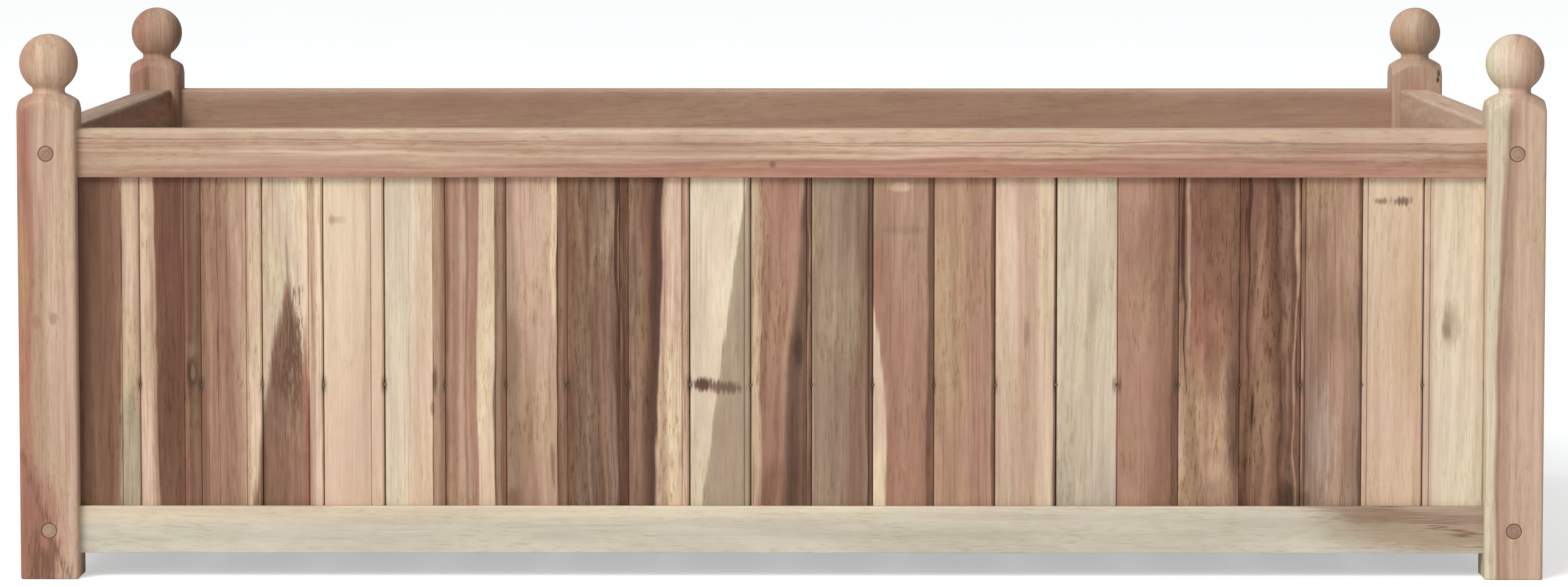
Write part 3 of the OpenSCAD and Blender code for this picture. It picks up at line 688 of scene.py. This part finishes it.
def eased(corners):
    """A closed outline from corners (x, y, radius, edge): each corner becomes an arc with supporting points
    beside it, and edge says how it is painted there: paler above 0, as wear and some painted highlight, and
    darker below 0, as painted shade and some dirt."""
    outline = []
    count = len(corners)
    for i, (x, y, radius, edge) in enumerate(corners):
        corner = Vector((x, y))
        before = Vector(corners[i - 1][:2]) - corner
        after = Vector(corners[(i + 1) % count][:2]) - corner
        if radius == 0:
            outline.append((corner.x, corner.y, edge))
            continue
        opening = before.angle(after)
        reach = radius / math.tan(opening / 2)
        reach = min(reach, 0.3 * before.length, 0.3 * after.length)
        start = corner + before.normalized() * reach
        end = corner + after.normalized() * reach
        support = min(SUPPORT, 0.4 * before.length - reach)
        outline.append((*(start + before.normalized() * support), 0.0))
        for step in range(ARC_STEPS + 1):
            t = step / ARC_STEPS
            point = start * (1 - t) ** 2 + corner * 2 * t * (1 - t) + end * t ** 2
            outline.append((point.x, point.y, edge))
        support = min(SUPPORT, 0.4 * after.length - reach)
        outline.append((*(end + after.normalized() * support), 0.0))
    return outline


def edge_layer(bm):
    """The layer that says of each point how it is painted: paler above 0, as wear and painted highlight, and
    darker below 0, as painted shade and dirt.
    """
    return bm.verts.layers.float.get("edge") or bm.verts.layers.float.new("edge")


def add_rings(bm, levels):
    """Rings of points with faces between them. A level lists each of its points and its edge value."""
    edge = edge_layer(bm)
    rings = []
    for level in levels:
        ring = []
        for point, rub_and_shade in level:
            vert = bm.verts.new(point)
            vert[edge] = rub_and_shade
            ring.append(vert)
        rings.append(ring)
    for lower, upper in zip(rings, rings[1:]):
        for i in range(len(lower)):
            bm.faces.new((lower[i - 1], lower[i], upper[i], upper[i - 1]))
    return rings


def extrude(outline, levels, place):
    """A closed solid with the outline at each level. place turns (x, y, level) into a point."""
    bm = bmesh.new()
    rings = add_rings(bm, [[(place(x, y, level), rub_and_shade) for x, y, rub_and_shade in outline] for level in levels])
    bm.faces.new(rings[0])
    bm.faces.new(rings[-1])
    bmesh.ops.recalc_face_normals(bm, faces=bm.faces)
    return bm


def lathe(bm, profile, axis, origin, steps=32):
    """Adds a turned solid to bm. profile lists (radius, height) along the axis, from and to radius 0.
    A third number is the edge value there, as in eased: below 0 the solid is painted darker, as shade."""
    edge_layer(bm)
    side = axis.orthogonal().normalized()
    other = axis.cross(side)
    ends = [bm.verts.new(origin + axis * profile[0][1]), bm.verts.new(origin + axis * profile[-1][1])]
    turns = [math.tau * i / steps for i in range(steps)]
    outs = [side * math.cos(turn) + other * math.sin(turn) for turn in turns]
    rings = add_rings(bm, [
        [(origin + axis * height + out * radius, rub_and_shade[0] if rub_and_shade else 0.0) for out in outs]
        for radius, height, *rub_and_shade in profile[1:-1]
    ])
    for end, ring in zip(ends, (rings[0], rings[-1])):
        for i in range(steps):
            bm.faces.new((end, ring[i - 1], ring[i]))
    bmesh.ops.recalc_face_normals(bm, faces=bm.faces)


def add_object(name, data):
    obj = bpy.data.objects.new(name, data)
    bpy.context.scene.collection.objects.link(obj)
    return obj


def make_object(bm, name):
    mesh = bpy.data.meshes.new(name)
    bm.to_mesh(mesh)
    bm.free()
    return add_object(name, mesh)


def cut(obj, cutter_bm):
    """Cuts a closed solid out of obj, for good."""
    cutter = make_object(cutter_bm, "cutter")
    modifier = obj.modifiers.new("cut", "BOOLEAN")
    modifier.operation = "DIFFERENCE"
    modifier.solver = "EXACT"
    modifier.object = cutter
    evaluated = obj.evaluated_get(bpy.context.evaluated_depsgraph_get())
    result = bpy.data.meshes.new_from_object(evaluated)
    obj.modifiers.remove(modifier)
    old = obj.data
    obj.data = result
    bpy.data.meshes.remove(old)
    bpy.data.objects.remove(cutter)


def finish_piece(obj, material, slot, *nodes):
    """Gives a piece its shading and material, hides the CAD nodes that it stands for and hangs it under the
    root body. slot is not used.
    """
    obj.data.shade_smooth()
    obj.data.set_sharp_from_angle(angle=SMOOTH_BELOW)
    obj.data.materials.clear()
    obj.data.materials.append(material)
    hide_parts(*nodes)
    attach(obj, "root")


def steps_between(low, high, count):
    return [low + (high - low) * i / count for i in range(count + 1)]


# ---- Posts ----

FLAT_STEPS = 22
CORNER_STEPS = 5


def square_radius(angle, half, corner):
    """Distance from the axis to a square with rounded corners."""
    x, y = sorted((abs(math.cos(angle)), abs(math.sin(angle))), reverse=True)
    middle = half - corner
    if half * y / x <= middle:
        return half / x
    reach = middle * (x + y)
    return reach + math.sqrt(reach ** 2 - 2 * middle ** 2 + corner ** 2)


def circle_height(radius, offset):
    """Half the chord of a circle at an offset from its middle, or 0 outside it."""
    return math.sqrt(max(radius ** 2 - offset ** 2, 0))


def smooth_min(a, b, blend):
    h = max(blend - abs(a - b), 0) / blend
    return min(a, b) - h * h * blend / 4


def post_radius(angle, z):
    """The post's outer form: square shaft, dome, coved neck and ball."""
    if z >= NECK_MIDDLE:
        body = circle_height(HALF, z - BALL_CENTRE)
    else:
        foot = FOOT_EASE * max(1 - z / FOOT_EASE, 0)
        shaft = square_radius(angle, HALF, POST_ARRIS) - foot
        dome = circle_height(DOME_RADIUS, max(z - DOME_CENTRE, 0))
        body = smooth_min(shaft, dome, CREASE)
    cove = 0.0
    if abs(z - NECK_MIDDLE) < COVE:
        cove = NECK_RADIUS + COVE - circle_height(COVE, z - NECK_MIDDLE)
        cove = min(cove, NECK_RADIUS + 2 * MM)
    return max(body, cove)


def post_heights():
    """Levels up a post, close together where its shape changes quickly."""
    ball_start = -math.acos(NECK_RADIUS / HALF)
    ball = [BALL_CENTRE + HALF * math.sin(t) for t in steps_between(ball_start, math.radians(87), 30)]
    return (
        [0, FOOT_EASE]
        + steps_between(4 * MM, RIM + 6 * MM, 24)
        + steps_between(RIM + 10 * MM, NECK_LOW - 1 * MM, 46)
        + steps_between(NECK_LOW - 0.6 * MM, ball[0] - 0.3 * MM, 10)
        + ball
    )


def post_angles():
    """Turns round a post, close together on its rounded corners, each with its edge value: the corners are
    painted a little darker, as shade.
    """
    flat = math.atan((HALF - POST_ARRIS) / HALF)
    quarter = math.pi / 2
    angles = []
    for face in range(4):
        middle = face * quarter
        angles += [(t, 0.0) for t in steps_between(middle - flat, middle + flat, FLAT_STEPS)]
        corner = steps_between(middle + flat, middle + quarter - flat, CORNER_STEPS)
        angles += [(t, -0.15) for t in corner[1:-1]]
    return angles


def plug_places():
    """Middle and inward direction of every plug, on the faces of the posts."""
    heights = [sum(BOTTOM_RAIL) / 2, sum(TOP_RAIL) / 2]
    places = []
    for side in SIDES:
        offset = SCREW_OFFSET if side in (LEFT, RIGHT) else 0
        for end in (-1, 1):
            for height, shift in zip(heights, (-offset, offset)):
                place = side.place(end * (side.opening / 2 + HALF), 0, height + shift)
                places.append((place, side))
    return places


PLUG_PLACES = plug_places()


def plug_bores(centre):
    """The bores of the plugs in the post that stands at centre."""
    bm = bmesh.new()
    mouth = PLUG_BORE + PLUG_BORE_CHAMFER
    profile = [
        (0, -MM), (mouth, -MM), (mouth, 0),
        (PLUG_BORE, PLUG_BORE_CHAMFER), (PLUG_BORE, PLUG_LENGTH), (0, PLUG_LENGTH),
    ]
    for place, side in PLUG_PLACES:
        if (place.xy - centre.xy).length < POST:
            lathe(bm, profile, side.inward, place)
    return bm


def make_post(name, seed):
    low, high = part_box(name)
    centre = (low + high) / 2

    def point(angle, z):
        radius = post_radius(angle, z)
        return centre.x + radius * math.cos(angle), centre.y + radius * math.sin(angle), z

    bm = bmesh.new()
    rings = add_rings(bm, [
        [(point(angle, z), wear_and_shade if z < POST_CORNER_SHADE_TOP else 0.0) for angle, wear_and_shade in post_angles()]
        for z in post_heights()
    ])
    bm.faces.new(rings[0])
    pole = bm.verts.new((centre.x, centre.y, high.z))
    top = rings[-1]
    for i in range(len(top)):
        bm.faces.new((top[i - 1], top[i], pole))
    bmesh.ops.recalc_face_normals(bm, faces=bm.faces)
    obj = make_object(bm, name.replace("_post", "_turned_post"))
    cut(obj, plug_bores(centre))
    stock = Stock(EAST, NORTH, UP, (low, high))
    finish_piece(obj, wood(obj.name, stock, POST_LOOKS[name], seed), "post_wood", name)


def make_plug(index, place, side):
    """A plug, crowned a little, with its own grain turned against the post's."""
    bm = bmesh.new()
    ease = PLUG_EASE
    sink = PLUG_SINK
    back = PLUG_LENGTH - 0.1 * MM
    # The plug's rim is painted dark, as the shade in the gap round it
    profile = [
        (0, sink - 0.2 * MM), (0.6 * PLUG_RADIUS, sink - 0.1 * MM),
        (PLUG_RADIUS - 1.6 * ease, sink - 0.05 * MM), (PLUG_RADIUS - ease, sink, -0.8),
        (PLUG_RADIUS - 0.25 * ease, sink + 0.3 * ease, -1), (PLUG_RADIUS, sink + ease, -1),
        (PLUG_RADIUS, back), (0, back),
    ]
    lathe(bm, profile, side.inward, place, steps=40)
    obj = make_object(bm, f"plug_{index:02d}")
    turn = math.radians(random.Random(index).uniform(-50, 50))
    along = UP * math.cos(turn) + side.right * math.sin(turn)
    across = side.right * math.cos(turn) - UP * math.sin(turn)
    reach = (along + across) * PLUG_RADIUS + side.inward * PLUG_LENGTH
    corners = (place - reach, place + reach)
    stock = Stock(across, side.inward, along, corners)
    finish_piece(obj, wood(obj.name, stock, PLUG_LOOK, 700 + index), "plug_wood", "post_plugs")


# ---- Rails ----

def rail_outline(low, high, top):
    """Section of a rail from its outer face inwards, grooved towards the boards."""
    outer = RAIL_INSET
    inner = RAIL_INSET + RAIL_THICKNESS
    groove_outer = BOARD_FRONT - CLEARANCE
    groove_inner = BOARD_FRONT + BOARD_THICKNESS + CLEARANCE
    far, mouth, end = (high, low, low + GROOVE_DEPTH) if top else (low, high, high - GROOVE_DEPTH)
    ease, wear_and_shade = (RIM_ROUND, 0.1) if top else (RAIL_EASE, 0.7)
    # The groove and its mouth, where the boards go in, are painted dark as shade; the outer arrises pale as
    # wear
    return eased([
        (outer, far, ease, wear_and_shade), (inner, far, ease, wear_and_shade), (inner, mouth, RAIL_EASE, 0.7),
        (groove_inner, mouth, 0, -0.5), (groove_inner, end, 0, -1.0),
        (groove_outer, end, 0, -1.0), (groove_outer, mouth, 0, -0.5), (outer, mouth, RAIL_EASE, 0.7),
    ])


def make_rail(side, top, seed):
    name = f"{side.name}_{'top' if top else 'bottom'}_rail"
    low, high = TOP_RAIL if top else BOTTOM_RAIL
    half = side.opening / 2
    phase = random.Random(seed).uniform(0, math.tau)

    def place(depth, height, along):
        bow = RAIL_BOW * math.sin(phase + 9 * along) * (1 - (along / half) ** 2)
        return side.place(along, depth + bow, height + 0.7 * bow)

    bm = extrude(rail_outline(low, high, top), steps_between(-half, half, 60), place)
    obj = make_object(bm, name.replace("_rail", "_framing_rail"))
    corners = (side.place(-half, RAIL_INSET, low), side.place(half, RAIL_INSET + RAIL_THICKNESS, high))
    stock = Stock(UP, side.inward, side.right, corners)
    slot = "top_rail_wood" if top else "bottom_rail_wood"
    finish_piece(obj, wood(obj.name, stock, RAIL_LOOKS[name], seed), slot, name)


# ---- Boards ----

def bead_offset(joint, pitch):
    """How far left of a joint its bead line lies."""
    return BEAD_START + (joint - 1) * (pitch - BEAD_PITCH)


class Joint:
    """The V-groove between two boards, from tight (0) to open (2). The more open it is, the darker its
    chamfers are painted, as shade and dirt.
    """

    def __init__(self, openness):
        self.half_gap = (0.05 + 0.22 * openness) * MM
        self.chamfer = JOINT_CHAMFER * min(0.25 + 0.6 * openness, 1)
        self.shade_and_dirt = -min(0.1 + 0.6 * openness, 1)


def ledge(mouth, end, start, stop):
    """Corners of a tongue or a groove between two boards, both painted fully dark, as shade."""
    return [(mouth, start, 0, -1.0), (end, start, 0, -1.0), (end, stop, 0, -1.0), (mouth, stop, 0, -1.0)]


def board_outline(side, i, joints):
    """Section of board i, grooved on its left edge and tongued on its right one, from its left joint."""
    pitch = side.pitch
    first = i == 1
    last = i == side.boards
    lefter = joints[i - 1]
    righter = joints[i]
    left = -POST_OVERLAP if first else lefter.half_gap
    right = pitch + POST_OVERLAP if last else pitch - righter.half_gap
    front = BOARD_FRONT
    back = front + BOARD_THICKNESS
    middle = front + BOARD_THICKNESS / 2
    slot = TONGUE_THICKNESS / 2 + CLEARANCE
    tongue = TONGUE_THICKNESS / 2

    beads = [-bead_offset(i - 1, pitch), pitch - bead_offset(i, pitch)]
    beads = [x for x in beads if BEAD_CLEAR < x < pitch - BEAD_CLEAR]
    # The face's ends against a post are painted dark over POST_SHADE, as shade. At a joint each chamfer's
    # inner corner is painted dark, as shade and dirt, and its arris pale: fully on the left chamfer, as wear
    # and painted highlight from the light on the left, and less on the right one, as wear
    face = [(left, front, 0, -1.0), (left + POST_SHADE, front, 0, 0.0)] if first else [
        (left, front + lefter.chamfer, JOINT_EASE, lefter.shade_and_dirt),
        (left + lefter.chamfer, front, BOARD_EASE, 1.0),
    ]
    if all(x > 2 * PIN_ROOM for x in beads):
        face.append((left + PIN_ROOM, front, 0, 0.0))
    # The groove of each bead line is painted dark, as shade
    for x in beads:
        face += [
            (x - BEAD_HALF, front, BEAD_EASE, 0.5), (x, front + BEAD_DEPTH, BEAD_ROUND, -0.8),
            (x + BEAD_HALF, front, BEAD_EASE, 0.5),
        ]
    if all(x < pitch - 2 * PIN_ROOM for x in beads):
        face.append((right - PIN_ROOM, front, 0, 0.0))
    face += [(right - POST_SHADE, front, 0, 0.0), (right, front, 0, -1.0)] if last else [
        (right - righter.chamfer, front, BOARD_EASE, 0.3),
        (right, front + righter.chamfer, JOINT_EASE, righter.shade_and_dirt),
    ]
    edge_right = [] if last else ledge(right, right + TONGUE, middle - tongue, middle + tongue)
    depth = TONGUE + 2 * CLEARANCE
    edge_left = [] if first else ledge(left, left + depth, middle + slot, middle - slot)
    rear = [(right, back, BACK_EASE, 0.5), (left, back, BACK_EASE, 0.5)]
    return eased([*face, *edge_right, *rear, *edge_left])


def pin_recesses(side, i):
    """The holes over the pins in both joints of a board."""
    bm = bmesh.new()
    r = PIN_RECESS_RADIUS
    profile = [(0, -MM), (r, -MM), (r, PIN_RECESS_DEPTH), (0, PIN_RECESS_DEPTH)]
    for joint in (i - 1, i):
        if 0 < joint < side.boards:
            origin = side.place(-side.opening / 2 + joint * side.pitch, BOARD_FRONT, PIN_Z)
            lathe(bm, profile, side.inward, origin, steps=16)
    return bm


def make_board(side, i, look, joints, seed):
    chance = random.Random(seed)
    start = -side.opening / 2 + (i - 1) * side.pitch
    proud = chance.uniform(-BOARD_PROUD, BOARD_PROUD)
    bow = chance.uniform(-BOARD_BOW, BOARD_BOW)
    middle = sum(BOARD_Z) / 2
    reach = (BOARD_Z[1] - BOARD_Z[0]) / 2

    def place(x, y, z):
        push = proud + bow * (1 - ((z - middle) / reach) ** 2)
        return side.place(start + x, y + push, z)

    levels = sorted([*steps_between(*BOARD_Z, 16), PIN_Z - PIN_ROOM, PIN_Z + PIN_ROOM])
    bm = extrude(board_outline(side, i, joints), levels, place)
    obj = make_object(bm, f"{side.name}_board_{i:02d}")
    cut(obj, pin_recesses(side, i))
    corners = (
        side.place(start, BOARD_FRONT, BOTTOM_RAIL[1]),
        side.place(start + side.pitch, BOARD_FRONT + BOARD_THICKNESS, TOP_RAIL[0]),
    )
    stock = Stock(side.right, side.inward, UP, corners)
    node = f"front_slat_{i:02d}" if side is FRONT else f"{side.name}_slats"
    slot = "heartwood_board" if BOARD_LOOKS.index(look) + 1 in HEARTWOOD else "sapwood_board"
    finish_piece(obj, wood(obj.name, stock, look, seed), slot, node)


def make_panel(side, seed):
    """All boards between two posts. The front has its looks in order, the others draw them at random."""
    chance = random.Random(seed)
    looks = list(BOARD_LOOKS)
    if side is not FRONT:
        chance.shuffle(looks)
    openness = FRONT_JOINTS if side is FRONT else [chance.uniform(0.2, 1.6) for _ in range(side.boards + 1)]
    joints = [Joint(value) for value in openness]
    for i in range(1, side.boards + 1):
        make_board(side, i, looks[i - 1], joints, seed + i)


# ---- Floor ----

def floor_recesses(x):
    """Countersunk holes for the four screws of the floor board whose middle is at x."""
    bm = bmesh.new()
    top = FLOOR_Z[1]
    profile = [
        (0, -MM), (FLOOR_SCREW_HEAD, -MM), (FLOOR_SCREW_HEAD, 0), (FLOOR_SCREW_SHANK, FLOOR_SCREW_SINK),
        (FLOOR_SCREW_SHANK, top - FLOOR_Z[0] + MM), (0, top - FLOOR_Z[0] + MM),
    ]
    for node in ("front_floor_cleat", "front_floor_bearer", "back_floor_bearer", "back_floor_cleat"):
        lathe(bm, profile, -UP, Vector((x, sum(span(node, 1)) / 2, top)), steps=24)
    return bm


def make_floor_board(i, seed):
    pitch = (FLOOR_X[1] - FLOOR_X[0] + FLOOR_GAP) / FLOOR_BOARDS
    half = (pitch - FLOOR_GAP) / 2
    x = (i - (FLOOR_BOARDS - 1) / 2) * pitch
    low, high = FLOOR_Z
    ease = FLOOR_EASE
    left, right = x - half, x + half
    outline = eased([
        (left, low, ease, 0.5), (right, low, ease, 0.5), (right, high, ease, 0.8), (left, high, ease, 0.8),
    ])
    bm = extrude(outline, steps_between(*FLOOR_Y, 24), lambda across, height, y: Vector((across, y, height)))
    obj = make_object(bm, f"floor_board_{i + 1:02d}")
    cut(obj, floor_recesses(x))
    stock = Stock(EAST, UP, NORTH, ((left, FLOOR_Y[0], low), (right, FLOOR_Y[1], high)))
    look = random.Random(seed).choice(BOARD_LOOKS)
    finish_piece(obj, wood(obj.name, stock, look, seed), "inner_wood", "floor_slats")


# ---- Pieces kept from the CAD model ----

def paint_node(name, material):
    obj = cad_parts[name]
    obj.data.materials.clear()
    obj.data.materials.append(material)


def paint_inner_wood():
    """Battens, cleats and bearers, each with grain along its length."""
    names = (
        "front_batten", "back_batten", "left_batten", "right_batten",
        "front_floor_cleat", "back_floor_cleat", "front_floor_bearer", "back_floor_bearer",
    )
    for seed, name in enumerate(names, 500):
        through, along = (EAST, NORTH) if name in ("left_batten", "right_batten") else (NORTH, EAST)
        paint_node(name, wood(name, Stock(UP, through, along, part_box(name)), INNER_LOOK, seed))


def paint_steel():
    dulled = {"slat_pins": 1.0, "post_screws": 0.0, "cleat_screws": 0.2, "floor_screws": 0.2}
    for seed, (name, share) in enumerate(dulled.items(), 600):
        paint_node(name, steel(name, seed, share))


# ---- Stage ----

FLOOR_REACH = 60
FLOOR_GLOW = 0.47
FLOOR_WHITES = (0.82, 0.86)


def make_stage():
    """A white floor. It glows a little for the camera alone, so that the shade under the planter is pale."""
    bm = bmesh.new()
    corners = ((-1, -1), (1, -1), (1, 1), (-1, 1))
    bm.faces.new([bm.verts.new((x * FLOOR_REACH, y * FLOOR_REACH, 0)) for x, y in corners])
    floor = make_object(bm, "studio_floor")
    tree = Tree(bpy.data.materials.new("studio_floor"))
    shade = tree.noise(tree.object_place(), (0.4, 0.4, 0.4), detail=1.0)
    dull, bright = [(white, white, white, 1) for white in FLOOR_WHITES]
    tree.surface(Base_Color=tree.mix(shade, dull, bright), Roughness=0.9, Specular_IOR_Level=0.0)
    tree.surface(Emission_Color=(0.96, 0.985, 1.0, 1), Emission_Strength=tree.seen() * FLOOR_GLOW)
    floor.data.materials.append(tree.owner)


SKY_BRIGHTEST = Vector((-0.8, -0.45, 0.35)).normalized()
SKY_DIM = 0.14
SKY_BRIGHT = 0.86


def make_sky():
    """Soft light from all round, brightest from the upper left. The camera itself sees white."""
    tree = Tree(bpy.data.worlds.new("studio"), "Background")
    view = Field(tree, tree.add("ShaderNodeTexCoord").outputs["Generated"])
    node = tree.add("ShaderNodeVectorMath", operation="DOT_PRODUCT")
    towards = tree.fill(node, (view, SKY_BRIGHTEST), output=1)
    strength = tree.fill(tree.add("ShaderNodeMapRange"), (towards, -1, 1, SKY_DIM, SKY_BRIGHT))
    tree.surface(Color=(1, 1, 1, 1), Strength=strength.math("MAXIMUM", tree.seen()))
    bpy.context.scene.world = tree.owner


KEY_PLACE = Vector((-4.0, -7.4, 7.0))
KEY_SIZE = 4.0
KEY_POWER = 655


def make_key_light():
    """A square soft light that shines at the middle of the planter and isn't seen itself."""
    light = bpy.data.lights.new("key", "AREA")
    light.shape = "SQUARE"
    light.size = KEY_SIZE
    light.energy = KEY_POWER
    obj = add_object("key", light)
    obj.location = KEY_PLACE
    target = Vector((0, 0, BALL_CENTRE / 2))
    obj.rotation_euler = (target - KEY_PLACE).to_track_quat("-Z", "Y").to_euler()
    obj.visible_camera = False


CAMERA_PLACE = (0.0235, -4.915, 0.575)
CAMERA_LENS = 132.4
CAMERA_DOWN = 4.41
CAMERA_TURN = 0.27


def make_camera():
    """Eye-level view of the front, a long lens a little left and above, looking slightly down."""
    camera = bpy.data.cameras.new("camera")
    camera.lens = CAMERA_LENS
    camera.sensor_width = 36
    camera.clip_end = 200
    obj = add_object("camera", camera)
    obj.location = CAMERA_PLACE
    obj.rotation_euler = (math.radians(90 - CAMERA_DOWN), 0, math.radians(CAMERA_TURN))
    bpy.context.scene.camera = obj


# ---- The whole, each kind of piece with its own run of seeds ----

make_camera()
for number, post in enumerate(POST_LOOKS, 10):
    make_post(post, number)
for number, (spot, facing) in enumerate(PLUG_PLACES, 1):
    make_plug(number, spot, facing)
for number, facing in enumerate(SIDES):
    make_rail(facing, True, 30 + number)
    make_rail(facing, False, 40 + number)
    make_panel(facing, 100 * (number + 1))
for number in range(FLOOR_BOARDS):
    make_floor_board(number, 650 + number)
paint_inner_wood()
paint_steel()
make_stage()
make_sky()
make_key_light()
bpy.context.scene.view_settings.view_transform = "Standard"
